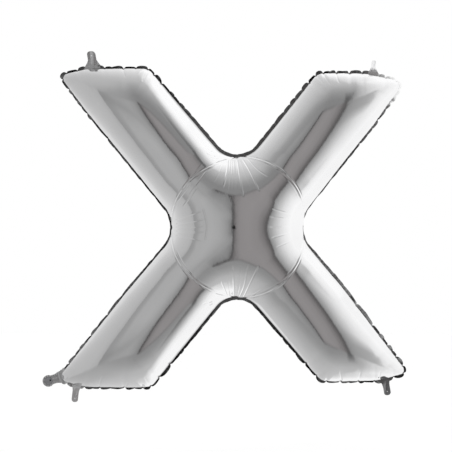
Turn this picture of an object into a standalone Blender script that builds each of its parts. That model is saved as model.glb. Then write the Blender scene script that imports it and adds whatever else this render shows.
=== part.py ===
# Letter-shaped foil balloon, the letter X, filled and hanging in the air.
#
# Two sheets of metallised film, cut to the same outline, are welded together
# along a narrow border and filled through a flat neck at one corner.  Small
# tabs cut out of the same film stand on the border at the four corners, for
# a thread to hang the letter by.
#
# Frame: metres.  The letter stands upright in the XZ plane, +X to the
# reader's right, +Z up, and the reader stands at -Y.  The origin is in the
# weld's plane, in the middle of the crossing of the two strokes.

import math

import bmesh
import bpy
import numpy as np
from mathutils import Vector

# ---------------------------------------------------------------- sizes (m)
WALL = 0.0016           # wall of each sheet, a stand-in for a film of 0.04 mm
SEAM_WIDTH = 0.008      # width of the welded border
SEAM_THICK = 0.0024     # both films in the weld, with the same stand-in wall
GAP = 0.0003            # between pieces that touch
FULLNESS = 0.95         # 1 would make a long tube of film exactly round
CREASE_RADIUS = 0.196   # the folds between the crossing and each stroke
CREASE_HEIGHT = 0.097   # how far those folds stand out, in their middle
DOME_LOAD = 0.84        # how full the crossing is, beside the strokes at 1
TAB_THICK = 0.0016      # film of a tab or of the filling neck

ACROSS = 14             # grid cells across a stroke
ALONG = 16              # grid cells along a stroke
SIDE_POINTS = 60        # points of the border from a crotch to a corner
END_POINTS = 36         # points of the border along the end of a stroke

# The letter's outline: its corners, clockwise from the top crotch as the
# reader sees it, each rounded.  Places are those of the sharp corners.  The
# end and the outer side of each stroke bow out a little.
# columns: name, x, z, rounding radius
OUTLINE = (
    ("crotch_top", 0.0041, 0.1625, 0.069),
    ("right_up_inner", 0.2173, 0.4327, 0.044),
    ("right_up_bend", 0.3567, 0.4322, 0.100),
    ("right_up_outer", 0.4753, 0.4056, 0.028),
    ("right_up_bow", 0.3828, 0.2744, 0.400),
    ("crotch_right", 0.1597, 0.0011, 0.080),
    ("right_down_bow", 0.2936, -0.1509, 0.400),
    ("right_down_outer", 0.4880, -0.4035, 0.023),
    ("right_down_bend", 0.3842, -0.4280, 0.100),
    ("right_down_inner", 0.2288, -0.4289, 0.038),
    ("crotch_bottom", 0.0011, -0.1613, 0.064),
    ("left_down_inner", -0.2278, -0.4459, 0.044),
    ("left_down_bend", -0.4060, -0.4455, 0.100),
    ("left_down_outer", -0.5088, -0.4224, 0.028),
    ("left_down_bow", -0.3060, -0.1674, 0.400),
    ("crotch_left", -0.1608, 0.0014, 0.074),
    ("left_up_bow", -0.4171, 0.3128, 0.400),
    ("left_up_outer", -0.5018, 0.4247, 0.024),
    ("left_up_bend", -0.4100, 0.4455, 0.100),
    ("left_up_inner", -0.2346, 0.4460, 0.044),
)
# columns: name, the crotch it starts at, its end's corners, the next crotch
STROKES = (
    ("top_right", "crotch_top", "right_up_inner", "right_up_outer", "crotch_right"),
    ("bottom_right", "crotch_right", "right_down_outer", "right_down_inner", "crotch_bottom"),
    ("bottom_left", "crotch_bottom", "left_down_inner", "left_down_outer", "crotch_left"),
    ("top_left", "crotch_left", "left_up_outer", "left_up_inner", "crotch_top"),
)
# Hanging tabs: the root's middle, the direction that the tab points in
# (degrees up from +X), its length, its width at the root, near the tip and
# the radius of the thread hole.
# columns: name, x, z, degrees, length, root width, tip width, hole radius
TABS = (
    ("hanging_tab_top_left", -0.3930, 0.4453, 94.0, 0.0405, 0.0310, 0.0200, 0.0028),
    ("hanging_tab_top_right", 0.3765, 0.4303, 88.0, 0.0300, 0.0200, 0.0150, 0.0024),
    ("hanging_tab_bottom_left", -0.4382, -0.4385, -98.3, 0.0390, 0.0210, 0.0175, 0.0026),
    ("hanging_tab_bottom_right", 0.4095, -0.4220, -78.0, 0.0375, 0.0215, 0.0170, 0.0026),
)
# The flat neck that the gas goes in by, at the left foot's outer corner.
NECK_ROOT = (-0.4857, -0.4102)   # on the border, in the middle of the neck
NECK_ANGLE = 197.5               # degrees up from +X
NECK_LENGTH = 0.0462             # from the root to the end of the round head
NECK_ROOT_WIDTH = 0.0300
NECK_WAIST_WIDTH = 0.0250
NECK_HEAD_RADIUS = 0.0160
VALVE_RADIUS = 0.0105            # the plastic valve that shows in the head
VALVE_THICK = 0.0007
VALVE_INLET_RADIUS = 0.0022

FOIL = ((0.74, 0.74, 0.75, 1.0), 0.16, 1.0)      # colour, roughness, metallic
TAB_FOIL = ((0.55, 0.55, 0.56, 1.0), 0.28, 1.0)
VALVE_FILM = ((0.42, 0.42, 0.44, 1.0), 0.35, 0.0)


# ---------------------------------------------------------------- materials
def material(name, look):
    colour, roughness, metallic = look
    mat = bpy.data.materials.new(name)
    mat.use_nodes = True
    shader = mat.node_tree.nodes["Principled BSDF"]
    shader.inputs["Base Color"].default_value = colour
    shader.inputs["Roughness"].default_value = roughness
    shader.inputs["Metallic"].default_value = metallic
    mat.diffuse_color = colour
    return mat


# ------------------------------------------------------------------ outline
def corner_arc(inset, name, count):
    """Points along the rounding of one corner, in the outline's order, with
    the whole outline moved inwards by inset."""
    names = [row[0] for row in OUTLINE]
    at = names.index(name)
    here = np.array(OUTLINE[at][1:3])
    before = np.array(OUTLINE[at - 1][1:3])
    after = np.array(OUTLINE[(at + 1) % len(OUTLINE)][1:3])
    coming = (here - before) / np.linalg.norm(here - before)
    going = (after - here) / np.linalg.norm(after - here)
    # clockwise outline: the inside is to the right of the way of travel
    turn = coming[0] * going[1] - coming[1] * going[0]
    hollow = turn > 0                      # a crotch turns the other way
    radius = OUTLINE[at][3] + (inset if hollow else -inset)
    right_in = np.array([coming[1], -coming[0]])
    right_out = np.array([going[1], -going[0]])
    # the corner of the two inset lines
    bisector = right_in + right_out
    bisector /= np.linalg.norm(bisector)
    half = math.acos(max(-1.0, min(1.0, float(right_in @ bisector))))
    corner = here + bisector * inset / math.cos(half)
    side = -1.0 if hollow else 1.0
    centre = corner + side * bisector * radius / math.cos(half)
    first, last = -side * right_in, -side * right_out
    a0 = math.atan2(first[1], first[0])
    sweep = math.atan2(
        first[0] * last[1] - first[1] * last[0], float(first @ last)
    )
    angles = a0 + sweep * np.linspace(0.0, 1.0, count)
    return centre + radius * np.stack([np.cos(angles), np.sin(angles)], 1)


def evened(points, count):
    """The same path with count points at equal steps along it."""
    step = np.linalg.norm(np.diff(points, axis=0), axis=1)
    s = np.concatenate([[0.0], np.cumsum(step)])
    t = np.linspace(0.0, s[-1], count)
    return np.stack([np.interp(t, s, points[:, i]) for i in (0, 1)], 1)


def stroke_border(inset, stroke):
    """(side a, side b, end) of one stroke's border: the sides run from the
    middle of a crotch to the middle of a corner, the end from a to b."""
    names = [row[0] for row in OUTLINE]
    start = names.index(stroke[1])
    names = names[start:] + names[:start + 1]
    names = names[: names.index(stroke[4], 1) + 1]
    half = 16
    path, paths = [], []
    for name in names:
        arc = corner_arc(inset, name, 2 * half + 1)
        if name in stroke[1:]:             # the path is split in mid-corner
            path.append(arc[: half + 1])
            paths.append(np.concatenate(path))
            path = [arc[half:]]
        else:
            path.append(arc)
    return (
        evened(paths[1], SIDE_POINTS),
        evened(paths[3][::-1], SIDE_POINTS),
        evened(paths[2], END_POINTS),
    )


def at(path, t):
    """Points of a path at shares t of its length."""
    s = np.linspace(0.0, 1.0, len(path))
    return np.stack([np.interp(t, s, path[:, i]) for i in (0, 1)], 1)


def crease(from_point, to_point):
    """The fold from one crotch to the next, bowed away from the middle."""
    a0 = math.atan2(from_point[1], from_point[0])
    a1 = math.atan2(to_point[1], to_point[0])
    while a1 > a0:
        a1 -= 2 * math.pi              # clockwise
    while a1 < a0 - math.pi:
        a1 += 2 * math.pi
    t = np.linspace(0.0, 1.0, 65)
    r0, r1 = np.linalg.norm(from_point), np.linalg.norm(to_point)
    share = np.sin(math.pi * t) ** 0.5
    radius = (r0 * (1 - t) + r1 * t) * (1 - share) + CREASE_RADIUS * share
    angle = a0 + (a1 - a0) * t
    return np.stack([radius * np.cos(angle), radius * np.sin(angle)], 1)


def coons(bottom, top, left, right):
    """A grid between four sides.  bottom and top run the same way and share
    their ends with left and right."""
    n, m = len(bottom), len(left)
    u = np.linspace(0, 1, n)[None, :, None]
    v = np.linspace(0, 1, m)[:, None, None]
    ruled_v = bottom[None] * (1 - v) + top[None] * v
    ruled_u = left[:, None] * (1 - u) + right[:, None] * u
    corners = (
        bottom[0] * (1 - u) * (1 - v)
        + bottom[-1] * u * (1 - v)
        + top[0] * (1 - u) * v
        + top[-1] * u * v
    )
    return ruled_v + ruled_u - corners


def plan_grid(inset):
    """The letter's plan as quads: points, quads, the border's loop, how far
    each point on a fold stands out, for each stroke its share of the border
    from crotch to crotch, and the number of quads in the crossing.  The
    crossing is one square patch, as is each stroke."""
    spread = 0.5 - 0.5 * np.cos(math.pi * np.linspace(0, 1, ACROSS + 1))
    along = 0.5 - 0.5 * np.cos(math.pi * np.linspace(0, 1, ALONG + 1))
    borders = [stroke_border(inset, s) for s in STROKES]
    folds = [crease(b[0][0], b[1][0]) for b in borders]
    points, index = [], {}

    def number(p):
        key = (round(float(p[0]), 7), round(float(p[1]), 7))
        if key not in index:
            index[key] = len(points)
            points.append([float(p[0]), float(p[1])])
        return index[key]

    quads, border, shares = [], [], []
    folds = [at(f, spread) for f in folds]
    # the crossing: top-right fold, bottom-right, bottom-left, top-left are
    # its four sides, taken clockwise from the top crotch
    square = coons(folds[0], folds[2][::-1], folds[3][::-1], folds[1])
    n = ACROSS
    ids = [[number(square[j, i]) for i in range(n + 1)] for j in range(n + 1)]
    for j in range(n):
        for i in range(n):
            quads.append((ids[j][i], ids[j][i + 1], ids[j + 1][i + 1], ids[j + 1][i]))
    crossing = len(quads)
    raised = {}
    for row in (ids[0], ids[-1], [r[0] for r in ids], [r[-1] for r in ids]):
        for i, point in enumerate(row):
            raised[point] = CREASE_HEIGHT * math.sin(math.pi * i / n)
    for (side_a, side_b, end), fold in zip(borders, folds):
        patch = coons(fold, at(end, spread), at(side_a, along), at(side_b, along))
        ids = [[number(p) for p in row] for row in patch]
        for j in range(len(ids) - 1):
            for i in range(n):
                quads.append((ids[j][i], ids[j][i + 1], ids[j + 1][i + 1], ids[j + 1][i]))
        share = [row[0] for row in ids[:-1]] + ids[-1][:-1]
        share += [row[-1] for row in ids[:0:-1]]
        shares.append(range(len(border), len(border) + len(share) + 1))
        border += share
    return np.array(points), quads, border, raised, shares, crossing


def outwards(plan, distance):
    """The border's loop moved outwards, every side staying parallel."""
    loop = plan[0][plan[2]]
    way = np.roll(loop, -1, axis=0) - loop
    way /= np.linalg.norm(way, axis=1)[:, None]
    left = np.stack([-way[:, 1], way[:, 0]], 1)      # outside, clockwise
    mitre = left + np.roll(left, 1, axis=0)
    mitre /= (mitre * left).sum(1)[:, None]
    return loop + distance * mitre


def puffed(points, quads, border, raised, shares, crossing):
    """Height of the filled film above the weld's plane.  A soap film over
    the plan, held at the border and at the folds, has a root that makes a
    long stroke's section round and the crossing a dome between the folds."""
    n = len(points)
    stiff = np.zeros((n, n))
    load = np.zeros(n)
    for number, q in enumerate(quads):
        share = DOME_LOAD if number < crossing else 1.0
        for tri in ((q[0], q[1], q[2]), (q[0], q[2], q[3]),
                    (q[1], q[2], q[3]), (q[1], q[3], q[0])):
            p = points[list(tri)]
            b = np.array([p[1, 1] - p[2, 1], p[2, 1] - p[0, 1], p[0, 1] - p[1, 1]])
            c = np.array([p[2, 0] - p[1, 0], p[0, 0] - p[2, 0], p[1, 0] - p[0, 0]])
            area = abs(c[2] * b[1] - c[1] * b[2]) / 2
            if area < 1e-12:
                continue
            stiff[np.ix_(tri, tri)] += (np.outer(b, b) + np.outer(c, c)) / (8 * area)
            load[list(tri)] += share * area / 6
    film = np.zeros(n)
    held = np.zeros(n, bool)
    for i, height in raised.items():
        film[i] = (height / FULLNESS) ** 2 / 2
        held[i] = True
    film[border] = 0.0
    held[border] = True
    free = np.where(~held)[0]
    load = load - stiff[:, held] @ film[held]
    film[free] = np.linalg.solve(stiff[np.ix_(free, free)], load[free])
    return FULLNESS * np.sqrt(2 * np.maximum(film, 0.0))


# ------------------------------------------------------------------- pieces
def add_object(name, mesh, mat):
    mesh.materials.append(mat)
    mesh.shade_smooth()
    mesh.set_sharp_from_angle(angle=math.radians(35))
    obj = bpy.data.objects.new(name, mesh)
    bpy.context.scene.collection.objects.link(obj)
    return obj


def panel(name, side, plan, height, mat):
    """One sheet of film: side -1 is the front, +1 the back."""
    points, quads, border = plan[:3]
    bm = bmesh.new()
    outer = [
        bm.verts.new((p[0], side * (GAP / 2 + h), p[1]))
        for p, h in zip(points, height)
    ]
    for q in quads:
        bm.faces.new([outer[i] for i in q])
    bmesh.ops.recalc_face_normals(bm, faces=bm.faces)
    bm.normal_update()
    if sum(f.normal.y * f.calc_area() for f in bm.faces) * side < 0:
        bmesh.ops.reverse_faces(bm, faces=bm.faces)
        bm.normal_update()
    rim = set(border)
    inner = []
    for i, v in enumerate(outer):
        normal = v.normal.copy()
        if i in rim:
            normal.y = 0.0
            normal.normalize()
        inner.append(bm.verts.new(v.co - normal * WALL))
    for q in quads:
        face = bm.faces.new([inner[i] for i in q])
        if face.calc_area() < 1e-14:
            bm.faces.remove(face)
    for i, j in zip(border, border[1:] + border[:1]):
        bm.faces.new((outer[i], outer[j], inner[j], inner[i]))
    bmesh.ops.recalc_face_normals(bm, faces=bm.faces)
    bmesh.ops.triangulate(bm, faces=bm.faces)
    mesh = bpy.data.meshes.new(name)
    bm.to_mesh(mesh)
    bm.free()
    return add_object(name, mesh, mat)


def seam(name, plan, share, mat):
    """The welded border round one stroke, from crotch to crotch."""
    inner, outer = outwards(plan, GAP), outwards(plan, SEAM_WIDTH)
    count = len(inner)
    inner = [Vector(inner[i % count]) for i in share]
    outer = [Vector(outer[i % count]) for i in share]
    for path in (inner, outer):        # a gap to the next stroke's border
        path[0] += (path[1] - path[0]).normalized() * GAP / 2
        path[-1] += (path[-2] - path[-1]).normalized() * GAP / 2
    bm = bmesh.new()
    near, far = (
        [bm.verts.new((p.x, -SEAM_THICK / 2, p.y)) for p in path]
        for path in (inner, outer)
    )
    faces = [
        bm.faces.new((near[i], near[i + 1], far[i + 1], far[i]))
        for i in range(len(near) - 1)
    ]
    made = bmesh.ops.extrude_face_region(bm, geom=faces)
    verts = [g for g in made["geom"] if isinstance(g, bmesh.types.BMVert)]
    bmesh.ops.translate(bm, verts=verts, vec=Vector((0, SEAM_THICK, 0)))
    bmesh.ops.recalc_face_normals(bm, faces=bm.faces)
    bmesh.ops.triangulate(bm, faces=bm.faces)
    mesh = bpy.data.meshes.new(name)
    bm.to_mesh(mesh)
    bm.free()
    return add_object(name, mesh, mat)


def plate(name, rim, thick, mat, middle_y=0.0):
    """A flat plate in the XZ plane with the given rim of (x, z) points."""
    bm = bmesh.new()
    verts = [bm.verts.new((x, middle_y - thick / 2, z)) for x, z in rim]
    face = bm.faces.new(verts)
    made = bmesh.ops.extrude_face_region(bm, geom=[face])
    top = [g for g in made["geom"] if isinstance(g, bmesh.types.BMVert)]
    bmesh.ops.translate(bm, verts=top, vec=Vector((0, thick, 0)))
    bmesh.ops.recalc_face_normals(bm, faces=bm.faces)
    mesh = bpy.data.meshes.new(name)
    bm.to_mesh(mesh)
    bm.free()
    return add_object(name, mesh, mat)


def round_cutter(name, x, z, radius, y0, y1, sides=24):
    rim = [
        (x + radius * math.cos(2 * math.pi * i / sides),
         z + radius * math.sin(2 * math.pi * i / sides))
        for i in range(sides)
    ]
    bm = bmesh.new()
    verts = [bm.verts.new((px, y0, pz)) for px, pz in rim]
    face = bm.faces.new(verts)
    made = bmesh.ops.extrude_face_region(bm, geom=[face])
    top = [g for g in made["geom"] if isinstance(g, bmesh.types.BMVert)]
    bmesh.ops.translate(bm, verts=top, vec=Vector((0, y1 - y0, 0)))
    bmesh.ops.recalc_face_normals(bm, faces=bm.faces)
    mesh = bpy.data.meshes.new(name)
    bm.to_mesh(mesh)
    bm.free()
    obj = bpy.data.objects.new(name, mesh)
    bpy.context.scene.collection.objects.link(obj)
    obj.hide_render = True
    obj.display_type = "WIRE"
    return obj


def border_cutter(plan):
    """The whole border with the gap round it, which trims each tab's root."""
    bm = bmesh.new()
    verts = [bm.verts.new((x, -0.01, z)) for x, z in outwards(plan, SEAM_WIDTH + GAP)]
    face = bm.faces.new(verts)
    made = bmesh.ops.extrude_face_region(bm, geom=[face])
    top = [g for g in made["geom"] if isinstance(g, bmesh.types.BMVert)]
    bmesh.ops.translate(bm, verts=top, vec=Vector((0, 0.02, 0)))
    bmesh.ops.recalc_face_normals(bm, faces=bm.faces)
    mesh = bpy.data.meshes.new("border_cutter")
    bm.to_mesh(mesh)
    bm.free()
    obj = bpy.data.objects.new("border_cutter", mesh)
    bpy.context.scene.collection.objects.link(obj)
    obj.hide_render = True
    obj.display_type = "WIRE"
    return obj


def cut(obj, cutter):
    mod = obj.modifiers.new("cut_" + cutter.name, "BOOLEAN")
    mod.operation = "DIFFERENCE"
    mod.object = cutter
    mod.solver = "EXACT"


def placed(local, x, z, degrees):
    """Local points (along the tab, across it) as (x, z) of the letter."""
    c, s = math.cos(math.radians(degrees)), math.sin(math.radians(degrees))
    return [(x + a * c - b * s, z + a * s + b * c) for a, b in local]


def tab(row, cutter, mat):
    name, x, z, degrees, length, root, tip, hole = row
    sunk = 0.012                       # below the border, trimmed off there
    r = tip / 2 * 0.85
    local = [(-sunk, -root / 2), (0.0, -root / 2), (length * 0.35, -tip / 2)]
    steps = 8
    for i in range(steps + 1):
        a = -math.pi / 2 + math.pi / 2 * i / steps
        local.append((length - r + r * math.cos(a), -tip / 2 + r + r * math.sin(a)))
    for i in range(steps + 1):
        a = math.pi / 2 * i / steps
        local.append((length - r + r * math.cos(a), tip / 2 - r + r * math.sin(a)))
    local += [(length * 0.35, tip / 2), (0.0, root / 2), (-sunk, root / 2)]
    obj = plate(name, placed(local, x, z, degrees), TAB_THICK, mat)
    cut(obj, cutter)
    (hx, hz), = placed([(length - tip * 0.55, 0.0)], x, z, degrees)
    cut(obj, round_cutter(name + "_hole", hx, hz, hole, -0.01, 0.01, 16))
    return obj


def neck(cutter, mat):
    """The filling neck: it narrows to a waist and ends in a round head."""
    x, z = NECK_ROOT
    head = NECK_LENGTH - NECK_HEAD_RADIUS
    local = [(-0.016, -NECK_ROOT_WIDTH / 2), (0.002, -NECK_ROOT_WIDTH / 2),
             (0.012, -NECK_WAIST_WIDTH / 2)]
    start = math.acos(min(1.0, (NECK_WAIST_WIDTH / 2) / NECK_HEAD_RADIUS)) + math.pi / 2
    steps = 22
    for i in range(steps + 1):
        a = -start + 2 * start * i / steps
        local.append((head + NECK_HEAD_RADIUS * math.cos(a),
                      NECK_HEAD_RADIUS * math.sin(a)))
    local += [(0.012, NECK_WAIST_WIDTH / 2), (0.002, NECK_ROOT_WIDTH / 2),
              (-0.016, NECK_ROOT_WIDTH / 2)]
    obj = plate("inflation_neck", placed(local, x, z, NECK_ANGLE), TAB_THICK, mat)
    cut(obj, cutter)
    (hx, hz), = placed([(head, 0.0)], x, z, NECK_ANGLE)
    # a window in the front film, where the valve shows
    cut(obj, round_cutter("neck_window", hx, hz, VALVE_RADIUS + GAP,
                          -0.01, -TAB_THICK / 2 + VALVE_THICK + GAP, 28))
    return hx, hz


def valve(hx, hz, mat):
    """The end of the plastic valve between the films, with its inlet."""
    rim = [
        (hx + VALVE_RADIUS * math.cos(2 * math.pi * i / 28),
         hz + VALVE_RADIUS * math.sin(2 * math.pi * i / 28))
        for i in range(28)
    ]
    obj = plate("inflation_valve", rim, VALVE_THICK, mat,
                middle_y=-TAB_THICK / 2 + VALVE_THICK / 2)
    cut(obj, round_cutter("valve_inlet", hx + 0.0055, hz + 0.0010,
                          VALVE_INLET_RADIUS, -0.01, 0.01, 16))
    return obj


def main():
    for obj in list(bpy.data.objects):
        bpy.data.objects.remove(obj)
    foil = material("silver_foil", FOIL)
    tab_foil = material("tab_foil", TAB_FOIL)
    film = material("valve_film", VALVE_FILM)

    plan = plan_grid(SEAM_WIDTH)
    height = puffed(*plan)
    panel("front_panel", -1, plan, height, foil)
    panel("back_panel", 1, plan, height, foil)
    for stroke, share in zip(STROKES, plan[4]):
        seam("seam_" + stroke[0], plan, share, foil)
    cutter = border_cutter(plan)
    for row in TABS:
        tab(row, cutter, tab_foil)
    hx, hz = neck(cutter, tab_foil)
    valve(hx, hz, film)


main()
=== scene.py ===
# Letter-shaped foil balloon, the letter X: the looks.
#
# Everything is in metres in the part's own frame: the letter stands in the XZ
# plane, +X to the reader's right, +Z up, the reader at -Y, and the weld's
# plane is y = 0.  The sheets are computed as fine grids: the filled shape
# first, then the scallops and puckers along the weld, the folds round the
# crossing and the wrinkles that run from the crotches.

import math

import bpy  # noqa: E402
import numpy as np  # noqa: E402
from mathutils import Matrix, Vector  # noqa: E402
from mathutils.geometry import delaunay_2d_cdt  # noqa: E402


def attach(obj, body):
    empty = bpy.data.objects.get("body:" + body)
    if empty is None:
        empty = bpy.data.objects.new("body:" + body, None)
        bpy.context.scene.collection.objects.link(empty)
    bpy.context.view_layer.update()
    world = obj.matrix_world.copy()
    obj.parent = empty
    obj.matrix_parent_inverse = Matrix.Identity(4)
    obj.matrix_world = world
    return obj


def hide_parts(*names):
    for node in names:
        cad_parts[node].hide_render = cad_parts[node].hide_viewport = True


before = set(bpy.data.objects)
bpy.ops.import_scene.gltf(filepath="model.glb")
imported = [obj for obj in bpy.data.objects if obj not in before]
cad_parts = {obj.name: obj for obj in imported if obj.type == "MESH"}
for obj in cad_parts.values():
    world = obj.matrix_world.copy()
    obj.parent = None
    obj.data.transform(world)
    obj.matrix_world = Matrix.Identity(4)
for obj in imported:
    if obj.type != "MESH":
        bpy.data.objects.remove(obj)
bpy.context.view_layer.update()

# ------------------------------------------------------------------- sizes
SEAM_WIDTH = 0.008       # welded border
FULLNESS = 0.95          # 1 would make a long tube of film exactly round
# how far from the middle the folds between the crossing and each stroke run
CREASE_RADII = {"top_right": 0.194, "bottom_right": 0.190, "bottom_left": 0.177, "top_left": 0.176}
STROKE_HALF = 0.106      # half width of a stroke's round, where it meets a fold
CREASE_LIFT = 0.030      # how far the folds rise over that round in their middle
CREASE_FLANK = 0.042     # and how full they are towards the crotches
LOBE_DROP = 0.40         # how much faster the crossing falls towards the crotches (per metre)
DOME_LOAD = 0.84         # how full the crossing is, beside the strokes at 1
END_DROP = 0.08          # how much lower the film is beside the strokes' ends
COARSE_ACROSS, COARSE_ALONG = 26, 32     # grid that the filled shape is solved on
# grid of each patch of the finished sheets, across and along the strokes
FRONT_GRID, BACK_GRID = (290, 180), (140, 120)
PIXEL = 0.002744         # one pixel of the photograph on the object

# The letter's outline: its corners, clockwise from the top crotch as the
# reader sees it, each rounded.  Places are those of the sharp corners.
# columns: name, x, z, rounding radius
OUTLINE = (
    ("crotch_top", 0.0041, 0.1625, 0.069),
    ("right_up_inner", 0.2173, 0.4327, 0.044),
    ("right_up_bend", 0.3567, 0.4322, 0.100),
    ("right_up_outer", 0.4753, 0.4056, 0.028),
    ("right_up_bow", 0.3828, 0.2744, 0.400),
    ("crotch_right", 0.1597, 0.0011, 0.080),
    ("right_down_bow", 0.2936, -0.1509, 0.400),
    ("right_down_outer", 0.4880, -0.4035, 0.023),
    ("right_down_bend", 0.3842, -0.4280, 0.100),
    ("right_down_inner", 0.2288, -0.4289, 0.038),
    ("crotch_bottom", 0.0011, -0.1613, 0.064),
    ("left_down_inner", -0.2278, -0.4459, 0.044),
    ("left_down_bend", -0.4060, -0.4455, 0.100),
    ("left_down_outer", -0.5088, -0.4224, 0.028),
    ("left_down_bow", -0.3060, -0.1674, 0.400),
    ("crotch_left", -0.1608, 0.0014, 0.074),
    ("left_up_bow", -0.4171, 0.3128, 0.400),
    ("left_up_outer", -0.5018, 0.4247, 0.024),
    ("left_up_bend", -0.4100, 0.4455, 0.100),
    ("left_up_inner", -0.2346, 0.4460, 0.044),
)
# columns: name, the crotch it starts at, its end's corners, the next crotch
STROKES = (
    ("top_right", "crotch_top", "right_up_inner", "right_up_outer", "crotch_right"),
    ("bottom_right", "crotch_right", "right_down_outer", "right_down_inner", "crotch_bottom"),
    ("bottom_left", "crotch_bottom", "left_down_inner", "left_down_outer", "crotch_left"),
    ("top_left", "crotch_left", "left_up_outer", "left_up_inner", "crotch_top"),
)


def spot(column, row):
    """A place on the letter's plane, named as it is seen from the front."""
    return np.array([(column - 236.0) * PIXEL, (228.0 - row) * PIXEL])


# ------------------------------------------------------------------ outline
def corner_arc(inset, name, count):
    """Points along one rounded corner, with the outline moved in by inset."""
    names = [row[0] for row in OUTLINE]
    k = names.index(name)
    here = np.array(OUTLINE[k][1:3])
    before = np.array(OUTLINE[k - 1][1:3])
    after = np.array(OUTLINE[(k + 1) % len(OUTLINE)][1:3])
    coming = (here - before) / np.linalg.norm(here - before)
    going = (after - here) / np.linalg.norm(after - here)
    hollow = coming[0] * going[1] - coming[1] * going[0] > 0
    radius = OUTLINE[k][3] + (inset if hollow else -inset)
    right_in = np.array([coming[1], -coming[0]])
    right_out = np.array([going[1], -going[0]])
    bisector = right_in + right_out
    bisector /= np.linalg.norm(bisector)
    half = math.acos(max(-1.0, min(1.0, float(right_in @ bisector))))
    side = -1.0 if hollow else 1.0
    centre = here + bisector * (inset + side * radius) / math.cos(half)
    first, last = -side * right_in, -side * right_out
    sweep = math.atan2(first[0] * last[1] - first[1] * last[0], float(first @ last))
    angles = math.atan2(first[1], first[0]) + sweep * np.linspace(0.0, 1.0, count)
    return centre + radius * np.stack([np.cos(angles), np.sin(angles)], 1)


def lengths(path):
    """Distance along a path at each of its points."""
    step = np.linalg.norm(np.diff(path, axis=0), axis=1)
    return np.concatenate([[0.0], np.cumsum(step)])


def along(path, t):
    """Points of a path at shares t of its length."""
    s = lengths(path)
    return np.stack([np.interp(t * s[-1], s, path[:, i]) for i in range(path.shape[1])], 1)


def stroke_border(inset, stroke):
    """(side a, side b, end) of a stroke: the sides run from a crotch's middle
    to a corner's middle, and the end from side a to side b."""
    names = [row[0] for row in OUTLINE]
    start = names.index(stroke[1])
    names = names[start:] + names[:start + 1]
    names = names[: names.index(stroke[4], 1) + 1]
    half = 24
    path, paths = [], []
    for name in names:
        arc = corner_arc(inset, name, 2 * half + 1)
        if name in stroke[1:]:
            path.append(arc[: half + 1])
            paths.append(np.concatenate(path))
            path = [arc[half:]]
        else:
            path.append(arc)
    return paths[1], paths[3][::-1], paths[2]


def crease(a, b, radii):
    """The fold from one crotch to the next, bowed away from the middle."""
    a0, a1 = math.atan2(a[1], a[0]), math.atan2(b[1], b[0])
    while a1 > a0:
        a1 -= 2 * math.pi
    while a1 < a0 - math.pi:
        a1 += 2 * math.pi
    t = np.linspace(0.0, 1.0, 129)
    r0, r1 = np.linalg.norm(a), np.linalg.norm(b)
    share = np.sin(math.pi * t) ** 0.5
    radius = (r0 * (1 - t) + r1 * t) * (1 - share) + radii * share
    angle = a0 + (a1 - a0) * t
    return np.stack([radius * np.cos(angle), radius * np.sin(angle)], 1)


def coons(bottom, top, left, right):
    """A grid between four sides that share their corners."""
    n, m = len(bottom), len(left)
    u = np.linspace(0, 1, n)[None, :, None]
    v = np.linspace(0, 1, m)[:, None, None]
    corners = (
        bottom[0] * (1 - u) * (1 - v) + bottom[-1] * u * (1 - v)
        + top[0] * (1 - u) * v + top[-1] * u * v
    )
    return bottom[None] * (1 - v) + top[None] * v + left[:, None] * (1 - u) + right[:, None] * u - corners


def join(n, m):
    """Point numbers of the crossing's grid and of the four strokes' grids,
    which share their first rows with the crossing's sides."""
    middle = np.arange((n + 1) ** 2).reshape(n + 1, n + 1)
    firsts = (middle[0, :], middle[:, n], middle[n, ::-1], middle[::-1, 0])
    grids, count = [middle], (n + 1) ** 2
    for first in firsts:
        rest = np.arange(count, count + m * (n + 1)).reshape(m, n + 1)
        grids.append(np.vstack([first[None], rest]))
        count += m * (n + 1)
    return grids, count


def plan_of(n, m):
    """The places (x, z) of a sheet's grid points, and the patches' grids."""
    spread = 0.5 - 0.5 * np.cos(math.pi * np.linspace(0, 1, n + 1))
    reach = 0.5 - 0.5 * np.cos(math.pi * np.linspace(0, 1, m + 1))
    borders = [stroke_border(SEAM_WIDTH, s) for s in STROKES]
    folds = [along(crease(b[0][0], b[1][0], CREASE_RADII[s[0]]), spread) for b, s in zip(borders, STROKES)]
    grids, count = join(n, m)
    plan = np.zeros((count, 2))
    plan[grids[0]] = coons(folds[0], folds[2][::-1], folds[3][::-1], folds[1])
    for grid, (side_a, side_b, end), fold in zip(grids[1:], borders, folds):
        plan[grid] = coons(fold, along(end, spread), along(side_a, reach), along(side_b, reach))
    return plan, grids, count


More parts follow.
